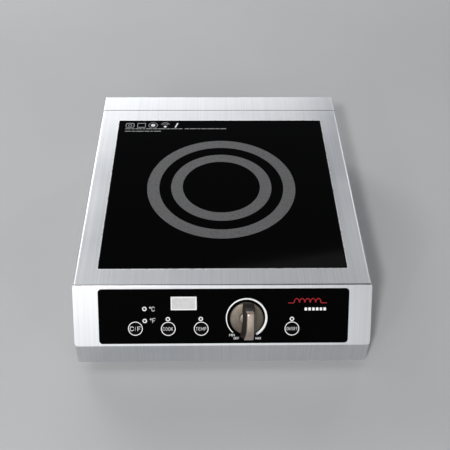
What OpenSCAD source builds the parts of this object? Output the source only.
// Countertop induction hob: folded stainless housing, slanted control front, glass-ceramic top.
// Axes: X to the right, Y to the back, Z up. The origin is the middle of the base, on the table.

/* [Housing] */
// overall width of the housing
body_w = 331; // [322:1:345]
// depth of the flat top from its front bend to the rear seam
top_d = 329.5; // [327:0.5:335]
// depth of the rear housing behind the seam
rear_d = 33.5; // [30:0.5:45]
// how far the control front leans back from upright
panel_lean = 32.6; // [31:0.2:34]
// length of the control front along its slope
panel_len = 71; // [70:0.5:74]
// height of the upright skirt under the control front
skirt_h = 29; // [26:1:34]
// thickness of the folded sheet
sheet_t = 1; // [0.8:0.1:1.2]
// bend radius of the folded edges
bend_r = 2; // [1.6:0.2:2.6]
// radius of the upright front corners
corner_r = 3.2; // [2.6:0.2:3.6]
// width of the inward lips under the housing
lip_w = 13; // [11:1:14]
// dark gap between top and rear housing
seam_gap = 1; // [0.6:0.1:1.2]

/* [Glass] */
// side of the square glass opening
window_w = 281.4; // [278:0.2:283]
// sealant line round the glass
seal_w = 1.5; // [1.2:0.1:2]
// glass thickness
glass_t = 4; // [3.8:0.1:4.2]
// how far the glass stands above the steel
glass_proud = 0.4; // [0.3:0.1:0.6]

/* [Feet] */
// free height under the housing
foot_h = 13; // [11:1:18]
// radius of a foot at its top
foot_r = 14; // [12:0.5:15]

/* [Controls] */
// thickness of the overlay on the control front
overlay_t = 0.5; // [0.4:0.1:0.6]
// width of the overlay
overlay_w = 278; // [274:0.5:280]
// height of the overlay along the slope
overlay_h = 63.4; // [62.4:0.2:64]
// sideways position of the power knob
knob_x = 26.5; // [24:0.5:29]
// distance of the knob axis down the slope
knob_p = 38.1; // [37.6:0.1:38.6]
// radius of the knob skirt
knob_r = 18.6; // [17.5:0.1:19.4]
// height of the grip above the control front
knob_h = 22.5; // [20:0.5:25]
// radius of a push key
key_r = 7; // [6.6:0.1:7.1]
// travel of a push key
key_travel = 0.5; // [0.3:0.1:0.5]

/* [Inside] */
// outer radius of the induction coil
coil_r = 97; // [94:1:99]
// side of the cooling fan
fan_w = 119; // [116:1:120]
// radius of the cooling fan rotor
fan_r = 54; // [50:1:55]
// thickness of the power board
board_t = 1.6; // [1.2:0.1:2]

/* [Hidden] */
$fn = 48;
s = sin(panel_lean);
c = cos(panel_lean);
t = sheet_t;
body_h = panel_len*c + skirt_h;
zt = foot_h + body_h;                        // top face of the steel
front_out = (knob_p + 10)*s + knob_h*c;      // how far the grip reaches in front of the top bend
gland_out = 14;
yr = top_d + seam_gap + rear_d;              // rear face, from the top bend
yf = -(front_out + yr + gland_out)/2 + front_out;
pd = panel_len*s;                            // how far the skirt stands in front of the top bend
zb = -body_h;                                // underside of the housing, from the top face
zp = zb + t;                                 // underside of the base plate
zf = zp + 1.2;                               // floor inside
hw = body_w/2;
gx = 0.5;                                    // middle of the glass and the coil
gy = top_d/2;
zg = glass_proud - glass_t;                  // underside of the glass
fan_x = -88; fan_y = 142;
gland_x = 108; gland_z = zb + 34;
keys = [[-97.2, 50.1], [-60.7, 50.5], [-24.1, 50.6], [77.2, 51]];
leds = [[-86.8, 27.2], [-86.6, 41.1], [-61, 39.2], [-24.5, 39.2], [77, 39.7]];
spacers = [[-112, 21], [-112, 58], [92, 21], [92, 58]];
posts = [[-112, 68], [112, 68], [-112, 262], [112, 262]];
foot_at = [[-126, 4], [126, 4], [-126, 328], [126, 328]];
base_at = [for (x = [-hw + 7, hw - 7], y = [30, 165, 300]) [x, y]];
front_at = [-90, 90];
rear_x = [-120, -20, 60];
board_spacer_at = [[-14, 56], [94, 56], [-14, 304], [60, 304], [94, 180]];

// ---- helpers ----
function unit(v) = v/norm(v);
function arc_at(a, b, e, r, n) = r <= 0 ? [b] :
  let (u = unit(a - b), w = unit(e - b), g = acos(u*w), m = unit(u + w),
       o = b + m*(r/sin(g/2)), p = b + u*(r/tan(g/2)), q = b + w*(r/tan(g/2)),
       a0 = atan2(p[1] - o[1], p[0] - o[0]), a1 = atan2(q[1] - o[1], q[0] - o[0]),
       d = ((a1 - a0 + 540) % 360) - 180)
  [for (i = [0:n]) o + r*[cos(a0 + d*i/n), sin(a0 + d*i/n)]];
function soft(p, r, n = 5) = [for (i = [0:len(p) - 1])
  each arc_at(p[(i + len(p) - 1) % len(p)], p[i], p[(i + 1) % len(p)], r[i], n)];
function box2(w, h, r, n = 5) = soft([[-w/2, -h/2], [w/2, -h/2], [w/2, h/2], [-w/2, h/2]], [r, r, r, r], n);

module at(x, y, z) translate([x, yf + y, zt + z]) children();
module on_panel(x, p, h = 0)
  translate([x, yf - p*s - h*c, zt - p*c + h*s]) rotate([90 - panel_lean, 0, 0]) children();
module plate(w, d, h, r) linear_extrude(h) polygon(box2(w, d, r));
module ring(ro, ri, h) difference() { cylinder(h = h, r = ro); translate([0, 0, -1]) cylinder(h = h + 2, r = ri); }
// pan-head screw pointing down from z = 0, with a cross recess
module pan_screw(d, l, hd, hh) {
  difference() {
    union() { cylinder(h = hh*0.55, r = hd/2, $fn = 32);
      translate([0, 0, hh*0.55]) cylinder(h = hh*0.45, r1 = hd/2, r2 = hd*0.34, $fn = 32); }
    translate([-hd*0.3, -0.45, hh*0.45]) cube([hd*0.6, 0.9, hh]);
    translate([-0.45, -hd*0.3, hh*0.45]) cube([0.9, hd*0.6, hh]);
  }
  translate([0, 0, -l]) cylinder(h = l + 0.01, r = d/2, $fn = 24);
}

// side outline of the housing, k is the inset
module side_shape(k, yb, zbot) {
  polygon(soft([[k*tan(45 - panel_lean/2 + 0) + 0, -k], [-pd + k, -panel_len*c - k*tan(panel_lean/2)],
    [-pd + k, zbot], [yb, zbot], [yb, -k]],
    [max(bend_r - k, 0.6), max(bend_r - k, 0.6) , 0, 0, 0]));
}
module housing_body(k, yb, zbot) intersection() {
  translate([hw + 5, 0, 0]) rotate([90, 0, -90]) mirror([1, 0, 0]) linear_extrude(body_w + 10) side_shape(k, yb, zbot);
  translate([0, yb + 60, 0]) rotate([90, 0, 0]) linear_extrude(yb + 60 + pd + 20)
    polygon(soft([[-hw + k, zbot], [hw - k, zbot], [hw - k, -k], [-hw + k, -k]],
      [k > 0 ? 0 : corner_r, k > 0 ? 0 : corner_r, bend_r - k + 0.6, bend_r - k + 0.6]));
  translate([0, 0, zbot - 5]) linear_extrude(-zbot + 10)
    polygon(soft([[-hw + k, -pd + k], [hw - k, -pd + k], [hw - k, yb + 5], [-hw + k, yb + 5]],
      [corner_r - k, corner_r - k, 0, 0]));
}

// ---- housing ----
module top_housing() color("silver") at(0, 0, 0) difference() {
  union() {
    difference() {
      housing_body(0, top_d, zb);
      housing_body(t, top_d + 5, zb - 5);
    }
    // inward lips under the housing
    intersection() {
      housing_body(0.2, top_d, zb);
      union() {
        for (m = [-1, 1]) translate([m*(hw - lip_w/2 - 0.2) - lip_w/2, -pd, zb]) cube([lip_w, pd + top_d, t]);
        translate([-hw, -pd + 0.2, zb]) cube([body_w, lip_w, t]);
      }
    }
  }
  translate([gx, gy, -6]) plate(window_w, window_w, 12, 1.2);
  for (p = base_at) translate([p[0], p[1], zb - 1]) cylinder(h = t + 2, r = 1.7, $fn = 24);
  for (x = front_at) translate([x, -pd + 7, zb - 1]) cylinder(h = t + 2, r = 1.7, $fn = 24);
  panel_cuts(0.3, 0);
}
// openings through the control front, g widens the round ones
module panel_cuts(g, deep) translate([0, -yf, -zt]) {
  for (k = keys) on_panel(k[0], k[1], -4) cylinder(h = 8, r = key_r + 0.3);
  for (l = leds) on_panel(l[0], l[1], -4) cylinder(h = 8, r = 1.6 + g/3, $fn = 24);
  on_panel(knob_x, knob_p, -4) cylinder(h = 8, r = 4.95 + g/3);
  if (deep == 0) on_panel(-43.3, 21.05, -4) plate(25.6, 12.4, 8, 0.6);
  else on_panel(-43.3, 21.05, -4) plate(28.8, 15.6, 8, 0.4);
}

module rear_cover() color("gainsboro") at(0, top_d + seam_gap, 0) {
  w = body_w - 0.2;
  difference() {
    union() {
      difference() {
        translate([0, 0, zb]) intersection() {
          linear_extrude(body_h) polygon(soft([[-w/2, 0], [w/2, 0], [w/2, rear_d], [-w/2, rear_d]], [0, 0, 2.2, 2.2]));
          translate([w/2 + 1, 0, 0]) rotate([90, 0, -90]) mirror([1, 0, 0]) linear_extrude(w + 2)
            polygon(soft([[0, 0], [rear_d, 0], [rear_d, body_h], [0, body_h]], [0, 0, 2, 0]));
          translate([0, rear_d + 1, 0]) rotate([90, 0, 0]) linear_extrude(rear_d + 2)
            polygon(soft([[-w/2, 0], [w/2, 0], [w/2, body_h], [-w/2, body_h]], [0, 0, 2, 2]));
        }
        translate([-w/2 + t, -1, zb - 5]) cube([w - 2*t, rear_d + 1 - t, body_h + 5 - t]);
      }
      // joggled tongue under the flat top
      translate([-w/2 + 4, -10, -3*t - 0.6]) cube([w - 8, 11.5, t]);
      translate([-w/2 + 4, 0, -3*t - 0.6]) cube([w - 8, 1.5, 2*t + 0.7]);
      // lip under the base plate
      translate([-w/2 + 0.5, rear_d - lip_w, zb]) cube([w - 1, lip_w - 0.3, t]);
    }
    // exhaust louvre openings
    for (i = [0:2], j = [0:4]) translate([-118 + i*54, rear_d - 6, zb + 26 + j*10]) cube([46, 12, 4]);
    translate([gland_x, rear_d - 6, gland_z - zb + zb]) rotate([-90, 0, 0]) cylinder(h = 12, r = 8.2);
    for (x = rear_x) translate([x, rear_d - 6, zb + 8]) rotate([-90, 0, 0]) cylinder(h = 12, r = 1.7, $fn = 24);
  }
  // pressed louvre hoods
  for (i = [0:2], j = [0:4]) translate([-119 + i*54, rear_d, zb + 26 + j*10])
    rotate([90, 0, 90]) linear_extrude(48) polygon([[-t, 4], [-t, 5.4], [0, 5.4], [1.8, 2.2], [1.8, 1.2], [1.2, 1.2], [0, 4]]);
}

module base_pan() color("darkgray") at(0, 0, 0) {
  x0 = hw - t - 1.2; y0 = -pd + t + 0.4; y1 = yr - t - 0.4;
  difference() {
    union() {
      translate([-x0, y0, zp]) cube([2*x0, y1 - y0, 1.2]);
      for (m = [-1, 1]) translate([m*(x0 - 0.5) - 0.5, y0, zp]) cube([1, y1 - y0, 13]);
      translate([-x0, y0, zp]) cube([2*x0, 1, 10]);
      translate([-x0, y1 - 1, zp]) cube([2*x0, 1, 13]);
    }
    // air intake slots under the fan
    for (i = [-6:6]) let (l = sqrt(fan_r*fan_r - pow(i*8, 2)))
      translate([fan_x + i*8 - 2, fan_y - l, zp - 1]) cube([4, 2*l, 4]);
    for (p = foot_at) translate([p[0], p[1], zp - 1]) cylinder(h = 4, r = 2.2, $fn = 24);
    for (p = base_at) translate([p[0], p[1], zp - 1]) cylinder(h = 4, r = 1.6, $fn = 24);
    for (x = front_at) translate([x, -pd + 7, zp - 1]) cylinder(h = 4, r = 1.6, $fn = 24);
    for (x = rear_x) translate([x, y1 - 3, zb + 8]) rotate([-90, 0, 0]) cylinder(h = 6, r = 1.6, $fn = 24);
    for (i = [0:5]) translate([40 + i*14, 40, zp - 1]) cube([5, 60, 4]);
    translate([138, 290, zp - 1]) cylinder(h = 4, r = 2.1, $fn = 24);
    for (x = [-1, 1], y = [-1, 1]) translate([fan_x + x*52.5, fan_y + y*52.5, zp - 1]) cylinder(h = 4, r = 2.1, $fn = 24);
  }
}

// ---- glass ----
module glass_plate() color("black") at(gx, gy, zg) plate(window_w - 2*seal_w, window_w - 2*seal_w, glass_t, 0.8);
module glass_seal() color("#202020") at(gx, gy, zg) difference() {
  plate(window_w - 0.1, window_w - 0.1, glass_t - glass_proud - 0.1, 1.1);
  translate([0, 0, -1]) plate(window_w - 2*seal_w, window_w - 2*seal_w, 10, 0.8);
}
module glass_support() color("gray") at(gx, gy, 0) {
  difference() {
    union() {
      translate([0, 0, -t - 1]) plate(window_w + 16, window_w + 16, 1, 5);
      translate([0, 0, zg - 1]) plate(window_w + 4, window_w + 4, -t - zg + 1, 4);
    }
    translate([0, 0, zg]) plate(window_w + 2, window_w + 2, 10, 3);
    translate([0, 0, zg - 5]) plate(262, 262, 20, 6);
  }
}

// ---- control front ----
module control_overlay() color("#101010") difference() {
  on_panel(1.2, 4.6 + overlay_h/2) plate(overlay_w, overlay_h, overlay_t, 4);
  translate([0, yf, zt]) panel_cuts(0, 1);
}
module display_window() color("lightgray") on_panel(-43.3, 21.05) {
  difference() {
    plate(28.6, 15.4, 0.9, 0.3);
    translate([0, 0, 0.6]) plate(26, 12.4, 1, 0.3);
  }
}
module display_module() color("#303030") on_panel(-43.3, 21.05, -10) {
  difference() {
    plate(25, 15, 8, 0.4);
    for (i = [-1:1]) translate([i*7.6, 0, 7.2]) {
      for (y = [-4, 0, 4]) translate([-1.8, y - 0.4, 0]) cube([3.6, 0.8, 2]);
      for (x = [-2.6, 2.6], y = [-3.4, 0.6]) translate([x - 0.4, y, 0]) cube([0.8, 2.8, 2]);
    }
  }
  for (i = [-4:4], m = [-1, 1]) translate([i*2.54, m*6, -1.2]) cylinder(h = 1.4, r = 0.3, $fn = 16);
}
module led_indicators() color("whitesmoke") for (l = leds) on_panel(l[0], l[1], -10) {
  cylinder(h = 1.5, r = 1.9, $fn = 24);
  cylinder(h = 10.4, r = 1.45, $fn = 24);
  translate([0, 0, 10.4]) cylinder(h = 0.4, r1 = 1.45, r2 = 1, $fn = 24);
}
module control_board() color("darkgreen") difference() {
  on_panel(-10, 36, -11.6) plate(212, 52, 1.6, 2);
  on_panel(knob_x, knob_p, -20) cylinder(h = 20, r = 14);
  for (p = spacers) on_panel(p[0], p[1], -14) cylinder(h = 6, r = 1.6, $fn = 24);
  on_panel(-43.3, 21.05, -14) for (i = [-4:4], m = [-1, 1]) translate([i*2.54, m*6, 0]) cylinder(h = 6, r = 0.4, $fn = 16);
}
module board_spacers() color("goldenrod") for (p = spacers) on_panel(p[0], p[1], -t) {
  difference() {
    translate([0, 0, -10 + t]) cylinder(h = 10 - t, r = 2.9, $fn = 6);
    translate([0, 0, -12]) cylinder(h = 7, r = 1.25, $fn = 24);
  }
  translate([0, 0, -10 + t - 1.6 - 0]) mirror([0, 0, 1]) pan_screw(2.5, 5.5, 5, 1.8);
}
module key_switches() color("dimgray") for (k = keys) on_panel(k[0], k[1], -10) {
  difference() {
    plate(12, 12, 3.5, 0.6);
    translate([0, 0, 0.8]) cylinder(h = 5, r = 2.35, $fn = 32);
  }
  for (x = [-5, 5], y = [-6.8, 6]) translate([x - 0.5, y, 0]) cube([1, 0.9, 1.6]);
}
module key(i) on_panel(keys[i][0], keys[i][1]) {
  translate([0, 0, -2.6]) cylinder(h = 3.1, r = key_r);
  translate([0, 0, 0.5]) cylinder(h = 0.4, r1 = key_r, r2 = key_r - 0.4);
  translate([0, 0, -2.8]) cylinder(h = 1.4, r = key_r + 1.4);
  translate([0, 0, -8.2]) cylinder(h = 6, r = 2, $fn = 32);
}
module key_cf() color("#151515") key(0);
module key_cook() color("#151515") key(1);
module key_temp() color("#151515") key(2);
module key_onoff() color("#151515") key(3);

module potentiometer() color("#505050") on_panel(knob_x, knob_p) difference() {
  union() {
    translate([0, 0, -t - 10]) cylinder(h = 10, r = 12);
    translate([0, 0, -t - 0.5]) cylinder(h = t + 4.4, r = 4.85);
    for (i = [-1:1]) translate([i*4 - 0.8, -17, -t - 8]) cube([1.6, 6, 0.6]);
  }
  translate([0, 0, -t - 9]) cylinder(h = 30, r = 3.05);
}
module potentiometer_nut() color("goldenrod") on_panel(knob_x, knob_p, overlay_t) difference() {
  union() { cylinder(h = 0.5, r = 8.4); translate([0, 0, 0.5]) cylinder(h = 1.9, r = 8, $fn = 6); }
  translate([0, 0, -1]) cylinder(h = 6, r = 4.9);
}
module potentiometer_shaft() color("silver") on_panel(knob_x, knob_p) union() {
  translate([0, 0, -t - 8.5]) cylinder(h = t + 8.5 + 11, r = 3);
}
module grip_side() polygon(soft([[18, 1.6], [18, 5], [12, knob_h], [-10, knob_h], [-21.2, knob_h - 8.2], [-18, 1.6]],
  [0, 3, 1.6, 4, 1.6, 0], 6));
module grip_cross() polygon(soft([[-6.6, 1.6], [9.6, 1.6], [8.2, 8], [7.4, knob_h], [-0.9, knob_h], [-4.9, 8]],
  [0, 0, 12, 1, 1, 12], 6));
module knob() color("#8a7d70") on_panel(knob_x, knob_p) difference() {
  union() {
    rotate_extrude($fn = 96) polygon([[0, 1.2], [knob_r - 0.4, 1.2], [knob_r, 1.6], [knob_r, 3], [knob_r - 0.3, 3.5],
      [knob_r - 1, 3.9], [knob_r*0.75, 4.7], [knob_r*0.5, 5.2], [knob_r*0.25, 5.5], [0, 5.6]]);
    intersection() {
      translate([12, 0, 0]) rotate([90, 0, -90]) mirror([1, 0, 0]) linear_extrude(24) grip_side();
      translate([0, 25, 0]) rotate([90, 0, 0]) linear_extrude(50) grip_cross();
    }
    cylinder(h = 12.6, r = 4.9);
  }
  translate([0, 0, -1]) cylinder(h = 5.3, r = 9.2);
  translate([0, 0, 1]) cylinder(h = 10.2, r = 3);
  translate([2.5, 0, 8.2]) rotate([0, 90, 0]) cylinder(h = 10, r = 1.6, $fn = 24);
  translate([2.6, 3.2, knob_h - 0.6]) cube([1.4, 6.6, 3]);
}
module knob_pointer() color("#d8cfc0") on_panel(knob_x, knob_p) translate([2.6, 3.2, knob_h - 0.6])
  cube([1.4, 6.6, 0.62]);
module knob_screw() color("#404040") on_panel(knob_x, knob_p) translate([3, 0, 8.2]) rotate([0, 90, 0]) difference() {
  cylinder(h = 3, r = 1.6, $fn = 24);
  translate([0, 0, 1.4]) cylinder(h = 3, r = 0.9, $fn = 6);
}

// ---- coil ----
module winding(r0, r1) at(gx, gy, zg - 0.8 - 4.2) rotate_extrude($fn = 96) {
  n = floor((r1 - r0)/3);
  translate([r0, 0.4]) square([r1 - r0, 3.2]);
  for (i = [0:n - 1]) translate([r0 + (i + 0.5)*(r1 - r0)/n, 2]) circle(r = 1.75, $fn = 24);
}
module coil_outer_winding() color("#b5652a") winding(60, coil_r);
module coil_inner_winding() color("#b5652a") winding(26, 50);
module coil_former() color("#d8d2c0") at(gx, gy, zg - 10) {
  difference() {
    union() {
      for (r = [[coil_r + 3, coil_r + 0.6], [59, 51], [25.4, 20]]) ring(r[0], r[1], 8);
      for (a = [0:45:315]) rotate(a) translate([20.5, -8, 0]) cube([coil_r - 20 + 0.5, 16, 4.7]);
    }
    for (a = [0:45:315]) rotate(a) translate([28, -5.6, -1]) cube([62, 11.2, 4]);
    for (a = [22.5:90:337.5]) rotate(a) translate([55, 0, -1]) cylinder(h = 3, r = 3.4, $fn = 32);
  }
}
module ferrite_bars() color("#404045") at(gx, gy, zg - 13) for (a = [0:45:315]) rotate(a)
  translate([59, 0, 0]) linear_extrude(5.8) polygon(box2(61, 11, 0.8, 2));
module mica_sheet() color("#c9b68c") at(gx, gy, zg - 0.7) ring(coil_r + 3, 12, 0.7);
module coil_plate() color("lightgray") at(0, 0, zg - 17.6) difference() {
  translate([0, 165, 0]) plate(240, 210, 1.5, 8);
  translate([gx, gy, -1]) cylinder(h = 4, r = 16);
  for (p = posts) translate([p[0], p[1], -1]) cylinder(h = 4, r = 2.2, $fn = 24);
  for (i = [-3:3]) for (y = [82, 248]) translate([i*26 - 8, y - 3, -1]) cube([16, 6, 4]);
}
module coil_posts() color("gainsboro") for (p = posts) at(p[0], p[1], zf) {
  cylinder(h = zg - 17.6 - zf, r = 3.6, $fn = 6);
  translate([0, 0, zg - 17.6 - zf - 0.1]) cylinder(h = 2.1, r = 2, $fn = 24);
  translate([0, 0, zg - 16.1 - zf]) pan_screw(2, 1, 7, 2.2);
}
module coil_springs() color("silver") for (a = [22.5:90:337.5]) at(gx, gy, zg - 16.1) rotate(a) translate([55, 0, 0]) {
  linear_extrude(height = 6.6, twist = -360*3.5, slices = 56, $fn = 12) translate([2.5, 0]) scale([1, 2.2]) circle(r = 0.35, $fn = 6);
}
module thermistor() color("white") at(gx, gy, zg - 9) {
  cylinder(h = 8.2, r = 5.4);
  translate([0, 0, -6]) cylinder(h = 6.1, r = 2.4, $fn = 32);
  translate([0, 0, -2]) cylinder(h = 2.1, r = 8, $fn = 32);
}

// ---- power electronics ----
zc = zf + 7.6 + board_t;                     // top face of the power board
module power_board() color("darkgreen") difference() {
  at(40, 180, zf + 7.6) plate(120, 260, board_t, 3);
  for (p = board_spacer_at) at(p[0], p[1], zf) cylinder(h = 20, r = 1.7, $fn = 24);
}
module power_board_spacers() color("goldenrod") for (p = board_spacer_at) at(p[0], p[1], zf) {
  cylinder(h = 7.6, r = 3, $fn = 6);
  translate([0, 0, 7.5]) cylinder(h = board_t + 0.2, r = 1.5, $fn = 24);
  translate([0, 0, 7.6 + board_t]) pan_screw(1.5, 1, 5.6, 2);
}
module heat_sink() color("silver") at(20, 170, zc) rotate([90, 0, 0]) linear_extrude(108)
  polygon([[0, 0], [68, 0], [68, 38], for (i = [10:-1:0]) each [[6 + i*6, 38], [6 + i*6, 7], [2 + i*6, 7], [2 + i*6, 38]], [0, 38]]);
module power_transistors() color("#1c1c1c") for (y = [78, 104]) at(14.6, y, zc) {
  translate([0, 0, 4]) cube([5.2, 16, 21]);
  for (i = [0:2]) translate([2, 2 + i*5.4, 0]) cube([0.8, 1.4, 5]);
}
module bridge_rectifier() color("#262626") at(14.2, 132, zc) {
  translate([0, 0, 5]) cube([5.6, 30, 20]);
  for (i = [0:3]) translate([2.2, 3 + i*7.4, 0]) cube([0.9, 1.6, 6]);
}
module film_capacitors() color("#c03028") {
  at(5, 190, zc) plate(32, 18, 24, 1.2);
  at(42, 190, zc) plate(32, 18, 24, 1.2);
  at(8, 214, zc) plate(38, 22, 30, 1.2);
  at(8, 240, zc) plate(26, 14, 20, 1.2);
}
module mains_choke() color("#a8642a") at(58, 226, zc) {
  translate([0, 0, 1]) difference() { cylinder(h = 15, r = 17); translate([0, 0, -1]) cylinder(h = 20, r = 8); }
  for (m = [-1, 1], i = [-4:4]) rotate(m*90 + i*15) translate([12.5, 0, 9]) rotate([90, 0, 0]) translate([0, 0, -1])
    linear_extrude(2) polygon(box2(13, 17.4, 3, 4));
  for (x = [-9, 9]) translate([x - 0.6, -14, 0]) cube([1.2, 1.2, 2]);
}
module relay() color("#2a4a9a") at(8, 264, zc) { plate(28, 20, 16, 0.8); translate([0, 0, 16]) plate(22, 14, 0.4, 0.6); }
module fuse_holder() color("#ded8c8") at(46, 262, zc) {
  for (x = [-10, 10]) translate([x - 3, -4, 0]) cube([6, 8, 6]);
  translate([-14, 0, 6]) rotate([0, 90, 0]) cylinder(h = 28, r = 3.2, $fn = 32);
}
module terminal_block() color("#3a7a4a") at(84, 290, zc) difference() {
  translate([-14, -9, 0]) cube([28, 18, 14]);
  for (i = [-1:1]) translate([i*9, 1, 8]) cylinder(h = 10, r = 3, $fn = 32);
  for (i = [-1:1]) translate([i*9 - 3, -10, 2]) cube([6, 6, 5]);
}

// ---- fan ----
module fan_frame() color("#222222") at(fan_x, fan_y, zf) {
  difference() {
    plate(fan_w, fan_w, 25, 5);
    translate([0, 0, -1]) cylinder(h = 30, r = fan_r + 2, $fn = 96);
    for (x = [-1, 1], y = [-1, 1]) translate([x*52.5, y*52.5, -1]) cylinder(h = 30, r = 2.2, $fn = 24);
    for (a = [0:90:270]) rotate(a) translate([-38, fan_w/2 - 1.8, 4]) cube([76, 3, 17]);
  }
  cylinder(h = 4, r = 20);
  for (a = [45:90:315]) rotate(a) translate([18, -2, 0]) cube([fan_r - 15, 4, 3.4]);
  cylinder(h = 21, r = 2, $fn = 32);
}
module fan_rotor() color("#2c2c2c") at(fan_x, fan_y, zf) difference() {
  union() {
    translate([0, 0, 4.8]) cylinder(h = 18.6, r = 19);
    intersection() {
      translate([0, 0, 4.8]) cylinder(h = 18, r = fan_r, $fn = 96);
      for (a = [0:360/7:359]) rotate(a) translate([16, 0, 13.8]) rotate([52, 0, 0]) translate([0, -14, -0.9]) cube([60, 28, 1.8]);
    }
  }
  translate([0, 0, 4]) cylinder(h = 18, r = 2.05, $fn = 32);
}
module fan_guard() color("silver") at(fan_x, fan_y, zf + 25) {
  for (r = [16, 28, 40, 52]) ring(r + 1, r - 1, 1.6);
  for (a = [45:90:315]) rotate(a) translate([15.5, -1, 0]) cube([56, 2, 1.6]);
  for (x = [-1, 1], y = [-1, 1]) translate([x*52.5, y*52.5, 0]) ring(4.4, 2.1, 1.2);
  cylinder(h = 1.2, r = 8);
  for (a = [45:90:315]) rotate(a) translate([7, -1, 0]) cube([9, 2, 1.2]);
}
module fan_screws() color("silver") for (x = [-1, 1], y = [-1, 1]) at(fan_x + x*52.5, fan_y + y*52.5, zf + 26.6)
  pan_screw(4, 27.6, 7.6, 2.6);

// ---- feet, screws, mains entry ----
module feet() color("#1a1a1a") for (p = foot_at) at(p[0], p[1], -zt) difference() {
  union() {
    cylinder(h = 1.2, r1 = foot_r - 3.6, r2 = foot_r - 2.6);
    translate([0, 0, 1.2]) cylinder(h = foot_h + t - 2.4, r1 = foot_r - 2.6, r2 = foot_r);
    translate([0, 0, foot_h + t - 1.2]) cylinder(h = 1.2, r = foot_r);
  }
  translate([0, 0, -1]) cylinder(h = foot_h - 4, r = 5.2);
  translate([0, 0, -1]) cylinder(h = foot_h + 10, r = 2.1, $fn = 24);
}
module foot_screws() color("silver") for (p = foot_at) at(p[0], p[1], -zt + foot_h - 5) {
  mirror([0, 0, 1]) pan_screw(4, 12, 8.4, 2.6);
  translate([0, 0, 5 + t + 1.2]) difference() { cylinder(h = 2.6, r = 4, $fn = 6); translate([0, 0, -1]) cylinder(h = 6, r = 1.9, $fn = 24); }
}
module base_screws() color("silver") {
  for (p = base_at) at(p[0], p[1], zb) mirror([0, 0, 1]) pan_screw(3, 6, 6, 1.9);
  for (x = front_at) at(x, -pd + 7, zb) mirror([0, 0, 1]) pan_screw(3, 6, 6, 1.9);
}
module rear_screws() color("silver") {
  for (x = rear_x) at(x, yr, zb + 8) rotate([-90, 0, 0]) pan_screw(3, 5, 6, 1.9);
}
module cable_gland() color("#2a2a2a") at(gland_x, yr, gland_z) rotate([-90, 0, 0]) difference() {
  union() {
    cylinder(h = 4, r = 12.5, $fn = 6);
    translate([0, 0, 4]) cylinder(h = 6, r = 10.4);
    translate([0, 0, 10]) cylinder(h = 4, r1 = 10.4, r2 = 7);
    for (a = [0:30:330]) rotate(a) translate([9.8, -0.9, 4.5]) cube([1.4, 1.8, 5.2]);
    translate([0, 0, -11]) cylinder(h = 11.1, r = 8);
  }
  translate([0, 0, -12]) cylinder(h = 30, r = 5.2);
}
module gland_nut() color("#2a2a2a") at(gland_x, yr - t - 4, gland_z) rotate([-90, 0, 0]) difference() {
  cylinder(h = 4, r = 12, $fn = 6);
  translate([0, 0, -1]) cylinder(h = 6, r = 8.05);
}
module lead(pts, r) for (i = [0:len(pts) - 2]) let (a = pts[i], b = pts[i + 1], d = b - a, l = norm(d)) {
  translate(a) rotate([0, acos(d[2]/l), atan2(d[1], d[0])]) cylinder(h = l, r = r, $fn = 16);
  translate(b) sphere(r = r*1.08, $fn = 24);
}
module coil_leads() color("#e8e4d8") at(0, 0, 0) for (k = [0, 1])
  lead([[gx + 54 + k*6, gy + 40, zg - 12.2], [96 + k*6, 256 + k*2, zg - 12.2], [104 + k*6, 279, zg - 13],
    [104 + k*6, 276, zc + 14], [94, 268 - k*8, zc + 5], [92, 266 - k*8, zc + 1.8]], 1.5);
module ribbon_cable() color("#8a8f96") {
  at(2, 0, 0) rotate([90, 0, 90]) linear_extrude(16)
    polygon([[-12.4, -46.2], [10, -52], [40, zc + 11.4], [60, zc + 1.2], [60, zc], [56, zc], [39.4, zc + 10.2], [9.4, -53.2], [-13, -47.5]]);
  on_panel(10, 46, -15.6) plate(20, 6, 4, 0.4);
}
module fan_lead() color("#b03030") at(0, 0, 0)
  lead([[fan_x + fan_w/2 + 1, fan_y - 40, zf + 4], [-24, fan_y - 40, zf + 14], [-14, fan_y - 36, zc + 8], [-12, fan_y - 34, zc + 1.3]], 1.1);
module earth_stud() color("goldenrod") at(138, 290, zf) {
  translate([0, 0, -2.4]) cylinder(h = 16, r = 2, $fn = 24);
  difference() { cylinder(h = 3.2, r = 4, $fn = 6); translate([0, 0, 1]) cylinder(h = 1, r = 0.5, $fn = 16); }
  translate([0, 0, 6]) cylinder(h = 3.2, r = 4, $fn = 6);
}

top_housing();
rear_cover();
base_pan();
glass_plate();
glass_seal();
glass_support();
control_overlay();
display_window();
display_module();
led_indicators();
control_board();
board_spacers();
key_switches();
potentiometer();
potentiometer_nut();
potentiometer_shaft();
knob();
knob_pointer();
knob_screw();
key_cf();
key_cook();
key_temp();
key_onoff();
coil_outer_winding();
coil_inner_winding();
coil_former();
ferrite_bars();
mica_sheet();
coil_plate();
coil_posts();
coil_springs();
thermistor();
power_board();
power_board_spacers();
heat_sink();
power_transistors();
bridge_rectifier();
film_capacitors();
mains_choke();
relay();
fuse_holder();
terminal_block();
fan_frame();
fan_rotor();
fan_guard();
fan_screws();
feet();
foot_screws();
base_screws();
rear_screws();
cable_gland();
gland_nut();
coil_leads();
ribbon_cable();
fan_lead();
earth_stud();
